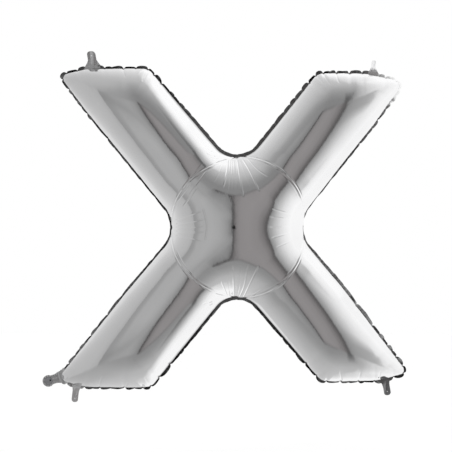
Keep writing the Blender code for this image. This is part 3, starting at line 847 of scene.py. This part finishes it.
def make_border(rim):
    """The welded border round one stroke: a thin strip that leans and waves."""
    steps = int(rim.length / 0.0014)
    s = np.linspace(0, rim.length, steps + 1)
    path = np.stack([np.interp(s, rim.s, rim.path[:, i]) for i in (0, 1)], 1)
    out = np.stack([np.interp(s, rim.s, rim.out[:, i]) for i in (0, 1)], 1)
    out /= np.linalg.norm(out, axis=1)[:, None]
    k, q, span = rim.between(s)
    force = rim.pinch_a[k] * (1 - q) + rim.pinch_a[k + 1] * q
    turn = np.where(k % 2 == 0, 1.0, -1.0)
    root = path + out * scallop(rim, s, np.zeros(len(s)))[:, None]
    root_y = sway(rim, s)
    knots = (0, 0.09, rim.end_from - 0.05, rim.end_from, rim.end_to, rim.end_to + 0.05,
             rim.length - 0.09, rim.length)
    lean = np.interp(s, knots, LEAN[rim.name])
    swing = 26 * np.clip((92 - lean) / 48, 0.3, 1)
    lean = lean + swing * force * turn * np.sin(math.pi * q) + 4 * np.sin(s * 150 + 2 * np.sin(s * 31))
    for name, x, z, half in FLAT_PARTS:
        if name == rim.name:
            _, at = rim.locate(np.array([[x, z]]))
            lean = lean * (1 - np.exp(-((s - at[0]) / (half * 1.15)) ** 6))
    turned = np.zeros(steps + 1)
    for name, x, z, half in TURNED_BACK:
        if name == rim.name:
            _, at = rim.locate(np.array([[x, z]]))
            turned += np.exp(-((s - at[0]) / half) ** 6)
    lean = lean + turned * (-38 - lean)
    lean = np.radians(np.clip(lean, -80, 88))
    width = SEAM_WIDTH * (1 + 0.05 * np.sin(s * 90) + 0.04 * np.sin(s * 233 + 1))
    pinch = np.exp(-(np.minimum(q, 1 - q) * span / 0.0030) ** 2)
    width *= 1 - 0.55 * force * pinch
    end = rim.end_to - rim.end_from
    painted_shade_at = (0, 0.09, rim.end_from - 0.05, rim.end_from + 0.01, rim.end_from + 0.55 * end,
               rim.end_from + 0.70 * end, rim.end_to + 0.05, rim.length - 0.09, rim.length)
    # painted shade: the border's grey along its length, taken from the table of painted shade and light
    painted_shade = np.interp(s, painted_shade_at, PAINTED_SHADE[rim.name])
    # painted highlight: the border is painted lighter at each pinch; the small ripple is uneven tone
    painted_shade = painted_shade + 0.35 * force * pinch + 0.03 * np.sin(s * 410) * np.sin(s * 93)
    # painted reflection: where it is turned back, its film is painted nearly white
    painted_shade = painted_shade + turned * (0.95 - painted_shade)
    rows = 5
    across = np.linspace(0, 1, rows)
    points = np.zeros((2, rows, steps + 1, 3))
    thick = 0.00035
    reach = np.zeros(steps + 1)
    rise = np.zeros(steps + 1)
    centre = []
    for j, t in enumerate(across):
        curl = lean * (0.75 + 0.35 * t)
        if j:
            reach = reach + width / (rows - 1) * np.cos(curl)
            rise = rise - width / (rows - 1) * np.sin(curl)
        ripple = 0.00035 * t * np.sin(s * 2 * math.pi / 0.0115 + 3 * np.sin(s * 40))
        x, z = (root + out * reach[:, None]).T
        centre.append((np.stack([x, root_y + rise + ripple, z], 1), curl))
    for j, (mid, curl) in enumerate(centre):
        n = np.stack([out[:, 0] * np.sin(curl), np.cos(curl), out[:, 1] * np.sin(curl)], 1)
        half = thick / 2 * (0.9 if j else 1.0)
        points[0, j] = mid - n * half
        points[1, j] = mid + n * half
    index = np.arange(points[..., 0].size).reshape(2, rows, steps + 1)
    faces = []
    for side in (0, 1):
        g = index[side]
        f = np.stack([g[:-1, :-1], g[:-1, 1:], g[1:, 1:], g[1:, :-1]], -1).reshape(-1, 4)
        faces.append(f if side == 0 else f[:, ::-1])
    for j, flip in ((0, True), (rows - 1, False)):
        a, b = index[0, j], index[1, j]
        f = np.stack([a[:-1], a[1:], b[1:], b[:-1]], -1)
        faces.append(f if flip else f[:, ::-1])
    for i, flip in ((0, False), (steps, True)):
        a, b = index[0, :, i], index[1, :, i]
        f = np.stack([a[:-1], a[1:], b[1:], b[:-1]], -1)
        faces.append(f if flip else f[:, ::-1])
    obj = mesh_object("border_" + rim.name, points.reshape(-1, 3), np.concatenate(faces), WELD)
    # the painted shade and light go to the points, where the border's material reads them
    painted_shades = np.clip(painted_shade, 0.10, 0.95) + np.zeros((2, rows, 1))
    obj.data.attributes.new("painted_shade", "FLOAT", "POINT").data.foreach_set("value", painted_shades.ravel())
    obj.data.set_sharp_from_angle(angle=math.radians(50))
    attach(obj, "root")
    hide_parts("seam_" + rim.name)
    return obj


# ------------------------------------------------------------ tabs and neck
def inside(places, loop):
    x, y = places[:, 0], places[:, 1]
    odd = np.zeros(len(places), bool)
    for (x0, y0), (x1, y1) in zip(loop, np.roll(loop, -1, axis=0)):
        if y0 == y1:
            continue
        crosses = (y0 > y) != (y1 > y)
        odd ^= crosses & (x < (x1 - x0) * (y - y0) / (y1 - y0) + x0)
    return odd


def film_plate(name, loops, step, thick, height, mat, place):
    """A thin closed plate of film: loops[0] is its rim and the rest are
    holes, in local (along, across) metres.  height(a, b) lifts it, and
    place(a, b, lift) gives its points on the letter."""
    dense, edges = [], []
    for loop in loops:
        loop = np.array(loop)
        closed = np.vstack([loop, loop[:1]])
        count = max(12, int(lengths(closed)[-1] / step))
        pts = along(closed, np.arange(count) / count)
        start = sum(len(d) for d in dense)
        edges += [(start + i, start + (i + 1) % count) for i in range(count)]
        dense.append(pts)
    lo, hi = dense[0].min(0), dense[0].max(0)
    xs, ys = np.arange(lo[0], hi[0], step), np.arange(lo[1], hi[1], step * 0.866)
    grid = np.array([(x + (j % 2) * step / 2, y) for j, y in enumerate(ys) for x in xs])
    ok = inside(grid, dense[0])
    for hole in dense[1:]:
        ok &= ~inside(grid, hole)
    rim_points = np.vstack(dense)
    gap = np.linalg.norm(grid[:, None] - rim_points[None], axis=2).min(1)
    grid = grid[ok & (gap > 0.55 * step)]
    made = delaunay_2d_cdt([Vector(p) for p in np.vstack([rim_points, grid])], edges, [], 0, 1e-9)
    flat = np.array([v[:] for v in made[0]])
    faces = np.array([f for f in made[2] if len(f) == 3])
    middle = flat[faces].mean(1)
    ok = inside(middle, dense[0])
    for hole in dense[1:]:
        ok &= ~inside(middle, hole)
    faces = faces[ok]
    a, b, c = (flat[faces[:, i]] for i in range(3))
    turn = np.cross(b - a, c - a)
    faces[turn < 0] = faces[turn < 0][:, ::-1]
    lift = height(flat[:, 0], flat[:, 1])
    top = place(flat[:, 0], flat[:, 1], lift + thick / 2)
    low = place(flat[:, 0], flat[:, 1], lift - thick / 2)
    n = len(flat)
    count = {}
    for f in faces:
        for i in range(3):
            e = (int(f[i]), int(f[(i + 1) % 3]))
            count[e] = True
    walls = []
    for (i, j) in count:
        if (j, i) not in count:
            walls.append((j, i, i + n))
            walls.append((j, i + n, j + n))
    all_faces = faces.tolist() + (faces[:, ::-1] + n).tolist() + walls
    obj = mesh_object(name, np.vstack([top, low]), all_faces, mat)
    return obj


def facing_out(obj):
    """Turns a closed mesh's faces outwards."""
    mesh = obj.data
    count = len(mesh.vertices)
    co = np.zeros(count * 3)
    mesh.vertices.foreach_get("co", co)
    co = co.reshape(-1, 3) - co.reshape(-1, 3).mean(0)
    volume = 0.0
    for p in mesh.polygons:
        v = [co[i] for i in p.vertices]
        for i in range(1, len(v) - 1):
            volume += float(np.dot(v[0], np.cross(v[i], v[i + 1])))
    if volume < 0:
        mesh.flip_normals()
    return obj


# columns: node, root x, z, degrees, length, root width, tip width, hole
# radius, crinkle mm, lean to the reader in degrees, bow sideways mm, twist
# about its length in degrees, film
TABS = (
    ("hanging_tab_top_left", -0.3930, 0.4453, 94.0, 0.0405, 0.0420, 0.0235, 0.0010, 1.5, 14, 1.5, -8, TAB),
    ("hanging_tab_top_right", 0.3765, 0.4303, 88.0, 0.0300, 0.0230, 0.0150, 0.0010, 0.8, 8, -0.8, 34, PALE_TAB),
    ("hanging_tab_bottom_left", -0.4382, -0.4385, -98.3, 0.0390, 0.0220, 0.0180, 0.0010, 0.5, 10, 0.8, -18, PALE_TAB),
    ("hanging_tab_bottom_right", 0.4095, -0.4220, -78.0, 0.0375, 0.0240, 0.0185, 0.0010, 1.6, 18, -1.2, 4, SHADED_TAB),
)
ROOT_DEPTH = 0.0074      # how far their film runs down over the weld
ROOT_FRONT = 0.0009      # and how far in front of its middle it lies there


def placer(x, z, degrees, lean, bow, twist=0.0):
    """From (along, across, lift) of a tab to the letter's frame."""
    c, s = math.cos(math.radians(degrees)), math.sin(math.radians(degrees))
    tilt = math.radians(lean)

    def place(a, b, lift):
        b = b + bow * 0.001 * (a / 0.03) ** 2
        wring = math.radians(twist) * np.clip(a / 0.010, 0, 1)
        b, lift = b * np.cos(wring) - lift * np.sin(wring), lift * np.cos(wring) + b * np.sin(wring)
        forward = np.maximum(a, 0) * math.sin(tilt) + ROOT_FRONT * np.clip(-a / 0.002, 0, 1)
        a2 = np.where(a > 0, a * math.cos(tilt), a)
        return np.stack([x + a2 * c - b * s, -(lift + forward), z + a2 * s + b * c], 1)

    return place


def make_tab(row):
    name, x, z, degrees, length, root, tip, hole, crinkle, lean, bow, twist, film = row
    r = tip / 2 * 0.85
    rim = [(-ROOT_DEPTH, -root / 2 - 0.003), (0.0, -root / 2), (length * 0.16, -root * 0.36 - tip * 0.07),
           (length * 0.38, -tip / 2)]
    for i in range(9):
        a = -math.pi / 2 + math.pi / 2 * i / 8
        rim.append((length - r + r * math.cos(a), -tip / 2 + r + r * math.sin(a)))
    for i in range(9):
        a = math.pi / 2 * i / 8
        rim.append((length - r + r * math.cos(a), tip / 2 - r + r * math.sin(a)))
    rim += [(length * 0.38, tip / 2), (length * 0.16, root * 0.36 + tip * 0.07), (0.0, root / 2),
            (-ROOT_DEPTH, root / 2 + 0.003)]
    centre = length - tip * 0.55
    ring = [(centre + hole * math.cos(t), hole * math.sin(t)) for t in np.linspace(0, 2 * math.pi, 24)[:-1]]
    rng = np.random.default_rng(int(length * 1e5) + int(degrees))
    folds = [(rng.uniform(-0.4, 0.4), rng.uniform(150, 420), rng.uniform(0, 6)) for _ in range(7)]

    def height(a, b):
        lift = np.zeros(len(a))
        for slant, rate, phase in folds:
            wave = np.sin(rate * (b + slant * a * 0.5) + phase + 60 * a)
            lift += np.sign(wave) * np.abs(wave) ** 1.6
        lift *= crinkle * 0.001 / math.sqrt(len(folds))
        # creases that run across the tab
        for k, at in enumerate((0.30, 0.52, 0.74)):
            d = a - length * at - 0.15 * b * (1 if k % 2 else -1)
            lift -= crinkle * 0.0005 * np.exp(-(d / 0.0011) ** 2)
        fade = np.clip((a + 0.003) / (0.3 * length), 0, 1)
        ring_gap = np.hypot(a - centre, b) - hole
        return lift * fade * (1 - 0.6 * np.exp(-(ring_gap / 0.002) ** 2))

    obj = film_plate("tab_" + name[12:], [rim, ring], 0.0010, 0.00035, height, film,
                     placer(x, z, degrees, lean, bow, twist))
    obj.data.set_sharp_from_angle(angle=math.radians(40))
    facing_out(obj)
    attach(obj, "root")
    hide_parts(name)
    return obj


NECK = dict(x=-0.4857, z=-0.4102, degrees=197.5, length=0.0462, root=0.0300, waist=0.0250, head=0.0160)
VALVE_RADIUS = 0.0105


def make_neck():
    middle = NECK["length"] - NECK["head"]
    half_root, half_waist, head = NECK["root"] / 2, NECK["waist"] / 2, NECK["head"]
    rim = [(-ROOT_DEPTH, -half_root - 0.002), (0.002, -half_root), (0.007, -half_waist - 0.0006),
           (0.012, -half_waist)]
    start = math.acos(min(1.0, half_waist / head)) + math.pi / 2
    for i in range(29):
        a = -start + 2 * start * i / 28
        rim.append((middle + head * math.cos(a), head * math.sin(a)))
    rim += [(0.012, half_waist), (0.007, half_waist + 0.0006), (0.002, half_root), (-ROOT_DEPTH, half_root + 0.002)]

    def height(a, b):
        # a channel between its two welded sides, with crinkles
        reach = np.hypot(np.maximum(a - middle, 0), b)
        swell = 0.0014 * np.clip(1 - (reach / (head * 0.92)) ** 2, 0, 1)
        fold = 0.0006 * np.sin(b * 620 + 90 * a) * np.clip((a + 0.004) / 0.01, 0, 1)
        edge = np.abs(b) / half_waist
        crimp = 0.0007 * np.sin(a * 980) * np.clip(edge - 0.7, 0, 0.3) / 0.3
        lift = (swell * 0.6 + fold * 0.6 + crimp) * np.clip((a + 0.006) / 0.010, 0, 1)
        # behind the valve the film bulges to the back
        share = np.clip((VALVE_RADIUS + 0.0008 - np.hypot(a - middle, b)) / 0.0018, 0, 1)
        return lift + share * (-0.0023 + 0.0002 * np.sin(a * 700 + b * 300) - lift)

    place = placer(NECK["x"], NECK["z"], NECK["degrees"], 6, 0.0)
    obj = film_plate("neck", [rim], 0.0011, 0.0004, height, TAB, place)
    obj.data.set_sharp_from_angle(angle=math.radians(40))
    facing_out(obj)
    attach(obj, "root")
    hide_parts("inflation_neck")
    # the plastic valve that shows in the head, with its inlet
    disc = [(middle + (VALVE_RADIUS + 0.0004) * math.cos(t), (VALVE_RADIUS + 0.0004) * math.sin(t))
            for t in np.linspace(0, 2 * math.pi, 40)[:-1]]
    inlet = [(middle - 0.0055 + 0.0022 * math.cos(t), 0.0026 * math.sin(t))
             for t in np.linspace(0, 2 * math.pi, 24)[:-1]]

    def dimple(a, b):
        from_inlet = np.hypot(a - middle + 0.0055, b)
        ring = 0.0005 * np.exp(-((np.hypot(a - middle, b) - 0.0085) / 0.0010) ** 2)
        return 0.0006 - 0.0009 * np.exp(-(from_inlet / 0.004) ** 2) + ring + 0.0001 * np.sin(a * 900) * np.sin(b * 700)

    disc_obj = film_plate("valve", [disc, inlet], 0.0009, 0.0003, dimple, VALVE, place)
    facing_out(disc_obj)
    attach(disc_obj, "root")
    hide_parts("inflation_valve")
    # a plate in painted shade, standing for the dark inside that shows through the inlet
    hollow = [(middle - 0.0055 + 0.0040 * math.cos(t), 0.0044 * math.sin(t))
              for t in np.linspace(0, 2 * math.pi, 24)[:-1]]
    throat = film_plate("valve_throat_shade", [hollow], 0.0012, 0.0003,
                        lambda a, b: -0.0012 - 0.0003 * np.sin(a * 800), THROAT_SHADE, place)
    facing_out(throat)
    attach(throat, "root")
    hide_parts("inflation_valve")
    return obj, disc_obj, throat


# ------------------------------------------------------------------- studio
def linear(value):
    """Light that shows as this grey, 0 to 255."""
    v = np.asarray(value, float) / 255
    return np.where(v <= 0.04045, v / 12.92, ((v + 0.055) / 1.055) ** 2.4)


def sky(x, y, z):
    """Grey of the studio above and below its walls, by the direction seen
    from the letter's middle: darker in front, lighter overhead and behind,
    and white on the right."""
    flat = np.hypot(x, y)
    arc = np.degrees(np.arctan2(np.abs(z), -y))
    up = np.interp(arc, (31, 49, 61, 76, 98, 130, 180), (128, 130, 149, 181, 209, 239, 246))
    down = np.interp(arc, (36, 47, 58, 70, 85, 100, 130, 180), (133, 139, 156, 177, 188, 195, 213, 228))
    grey = np.where(z > 0, up, down)
    left = np.clip(-x / np.hypot(flat, z) / 0.45, 0, 1)
    left_up = np.interp(arc, (44, 54, 65, 90, 130, 180), (147, 154, 174, 193, 212, 215))
    left_down = np.interp(arc, (44, 54, 65, 82, 100, 130, 180), (143, 149, 161, 173, 182, 192, 199))
    grey = grey + left * (np.where(z > 0, left_up, left_down) - grey)
    turn = np.degrees(np.arctan2(x, -y))
    bright = np.interp(turn, (32, 35.5, 40.5, 44, 51, 61, 75, 95), (126, 92, 94, 150, 174, 206, 238, 250))
    bright = np.where(z > 0, bright, bright - 6 * np.clip((turn - 50) / 30, 0, 1))
    bright = np.maximum(bright, grey - 60 * np.clip((62 - arc) / 18, 0, 1))
    right = np.clip((turn - 32) / 4, 0, 1) * np.clip(flat / np.maximum(np.abs(z), 1e-6) / 0.55, 0, 1)
    return grey + right * (bright - grey)


def glow_material(name):
    mat = bpy.data.materials.new(name)
    mat.use_nodes = True
    tree = mat.node_tree
    tree.nodes.clear()
    shade = node(tree, "ShaderNodeAttribute", attribute_name="shade")
    glow = node(tree, "ShaderNodeEmission")
    out = node(tree, "ShaderNodeOutputMaterial")
    tree.links.new(shade.outputs["Color"], glow.inputs["Color"])
    tree.links.new(glow.outputs["Emission"], out.inputs["Surface"])
    return mat


GLOW = glow_material("studio_glow")


def card(name, start, end, stops, warm=0.0, line=0.0, farther=None, dip=0.0, deep=None):
    """A tall soft card that only the film reflects.  stops are (share of the
    way from start to end, grey) of its middle height, and farther those of
    half a metre up and down, with a dip where they begin.  deep is how much
    darker it is past that.  Above and below it takes the sky's grey, with a
    darker line in between."""
    t = np.linspace(0, 1, 97 if len(stops) > 3 else 33)
    z = 0.9 * np.tan(np.radians(77.3) * np.linspace(-1, 1, 131))
    x = (start[0] + (end[0] - start[0]) * t)[None, :] + 0 * z[:, None]
    y = (start[1] + (end[1] - start[1]) * t)[None, :] + 0 * z[:, None]
    z = z[:, None] + 0 * x
    grey = np.interp(t, [s[0] for s in stops], [s[1] for s in stops])[None, :]
    if farther:
        away = np.interp(t, [s[0] for s in farther], [s[1] for s in farther])[None, :]
        grey = grey + np.clip((np.abs(z) - 0.16) / 0.24, 0, 1) * (away - grey)
        grey = grey - dip * np.exp(-((np.abs(z) - 0.43) / 0.10) ** 2)
    if deep:
        less = np.interp(t, [s[0] for s in deep], [s[1] for s in deep])[None, :]
        grey = grey - less * np.clip((np.abs(z) - 0.45) / 0.15, 0, 1)
    steep = np.degrees(np.arctan2(np.abs(z), np.hypot(x, y)))
    steep = np.where(z > 0, steep + 1, steep)
    share = np.clip((steep - 36.5) / 5.0, 0, 1)
    share = share * share * (3 - 2 * share)
    middle = np.clip((26 - np.degrees(np.arctan2(x, -y))) / 10, 0, 1)
    grey = grey + share * (sky(x, y, z) - grey) - line * middle * np.exp(-((steep - 39) / 1.8) ** 2)
    return glowing(name, x, y, z, grey, warm * (1 - share))


def lid(name, height):
    """The ceiling or the floor that the film reflects."""
    side = np.linspace(-1, 1, 81)
    side = 7.0 * np.sign(side) * np.abs(side) ** 1.6
    x, y = np.meshgrid(side, side)
    z = np.full_like(x, height)
    return glowing(name, x, y, z, sky(x, y, z))


def glowing(name, x, y, z, grey, warm=0.0):
    """A grid of points that glows with the given greys, a little warm."""
    m, n = x.shape
    shade = np.ones((m, n, 4))
    shade[:, :, :3] = (linear(grey) / 0.90)[:, :, None]
    shade[:, :, 1:3] *= (1 - 0.045 * (warm + np.zeros((m, n))))[:, :, None]
    points = np.stack([x, y, z], 2).reshape(-1, 3).tolist()
    faces = [(j * n + i, j * n + i + 1, (j + 1) * n + i + 1, (j + 1) * n + i)
             for j in range(m - 1) for i in range(n - 1)]
    mesh = bpy.data.meshes.new(name)
    mesh.from_pydata(points, [], faces)
    mesh.attributes.new("shade", "FLOAT_COLOR", "POINT").data.foreach_set("color", shade.ravel())
    mesh.materials.append(GLOW)
    obj = bpy.data.objects.new(name, mesh)
    bpy.context.scene.collection.objects.link(obj)
    obj.visible_camera = False
    obj.visible_diffuse = False
    obj.visible_shadow = False
    return obj


def make_studio():
    world = bpy.data.worlds.new("white")
    bpy.context.scene.world = world
    world.use_nodes = True
    world.node_tree.nodes["Background"].inputs["Color"].default_value = (1, 1, 1, 1)
    world.node_tree.nodes["Background"].inputs["Strength"].default_value = 1.0

    far, near, corner = (-0.18, -1.94), (0.58, -0.72), (-0.63, -0.34)
    card("card_dark", far, near,
         ((0, 62), (0.05, 84), (0.11, 108), (0.20, 127), (0.34, 138), (0.6, 141), (0.80, 136),
          (0.90, 122), (0.96, 98), (1, 84)), 1.0, 12)
    card("card_left_front", corner, far,
         ((0, 146), (0.05, 152), (0.10, 166), (0.3, 168), (0.45, 164), (0.60, 155), (0.75, 142),
          (0.86, 126), (0.94, 108), (0.985, 92), (1, 66)), farther=(
             (0, 144), (0.1, 154), (0.3, 160), (0.5, 159), (0.65, 157), (0.80, 153), (0.90, 148),
             (0.95, 140), (0.985, 112), (1, 66)), dip=7,
         deep=((0, 0), (0.35, 4), (0.6, 13), (0.85, 21), (0.95, 20), (1, 0)))
    card("card_left_side", (-1.30, 0.80), corner, ((0, 211), (0.6, 192), (0.94, 177), (1, 168)))
    card("card_left_rear", (-0.95, 1.75), (-1.30, 0.80), ((0, 225), (1, 211)))
    card("card_right_front", near, (1.25, 0.05),
         ((0, 112), (0.03, 140), (0.06, 152), (0.09, 157), (0.17, 180), (0.27, 200), (0.37, 217),
          (0.52, 231), (0.73, 240), (1, 247)), farther=(
             (0, 106), (0.04, 138), (0.10, 148), (0.20, 156), (0.34, 166), (0.42, 180),
             (0.49, 222), (0.60, 237), (1, 247)))
    card("card_rear_left", (-0.30, 2.15), (-0.95, 1.75), ((0, 165), (1, 225)))
    card("card_rear_dark", (0.40, 2.45), (-0.30, 2.15),
         ((0, 118), (0.12, 136), (0.88, 136), (1, 108)), 1.0)
    card("card_rear_right", (1.15, 1.75), (0.40, 2.45), ((0, 250), (0.7, 180), (1, 150)))
    # the ceiling and the floor as the film sees them
    lid("card_ceiling", 3.95)
    lid("card_ground", -3.95)
    # the camera, seen as a small black spot
    turn = np.linspace(0, 2 * math.pi, 25)[None, :]
    size = 0.062 * np.array([[0.02], [0.7], [1.0]])
    glowing("card_lens", -0.120 + size * np.cos(turn), -1.60 + 0 * size * turn, 0.012 + size * np.sin(turn),
            5 + 0 * size * turn)

    # a plain pale floor
    mesh = bpy.data.meshes.new("floor")
    mesh.from_pydata([(-9, -9, 0), (9, -9, 0), (9, 9, 0), (-9, 9, 0)], [], [(0, 1, 2, 3)])
    mat = bpy.data.materials.new("floor")
    mat.use_nodes = True
    shader = mat.node_tree.nodes["Principled BSDF"]
    shader.inputs["Base Color"].default_value = (0.93, 0.93, 0.93, 1)
    shader.inputs["Roughness"].default_value = 0.9
    shader.inputs["Specular IOR Level"].default_value = 0.1
    shader.inputs["Emission Color"].default_value = (1, 1, 1, 1)
    shader.inputs["Emission Strength"].default_value = 0.08
    mesh.materials.append(mat)
    floor = bpy.data.objects.new("floor", mesh)
    floor.location.z = -0.95
    floor.visible_glossy = False
    bpy.context.scene.collection.objects.link(floor)


def make_camera():
    distance = 4.0
    data = bpy.data.cameras.new("camera")
    data.sensor_width = 36
    data.lens = 36 * distance / 1.2403
    data.clip_end = 60
    camera = bpy.data.objects.new("camera", data)
    camera.location = (-0.0275, -distance, 0.0055)
    camera.rotation_euler = (math.radians(90), 0, 0)
    bpy.context.scene.collection.objects.link(camera)
    bpy.context.scene.camera = camera
    bpy.context.scene.view_settings.view_transform = "Standard"


make_camera()
make_studio()
make_sheets()
for one in RIMS:
    make_border(one)
for one in TABS:
    make_tab(one)
make_neck()
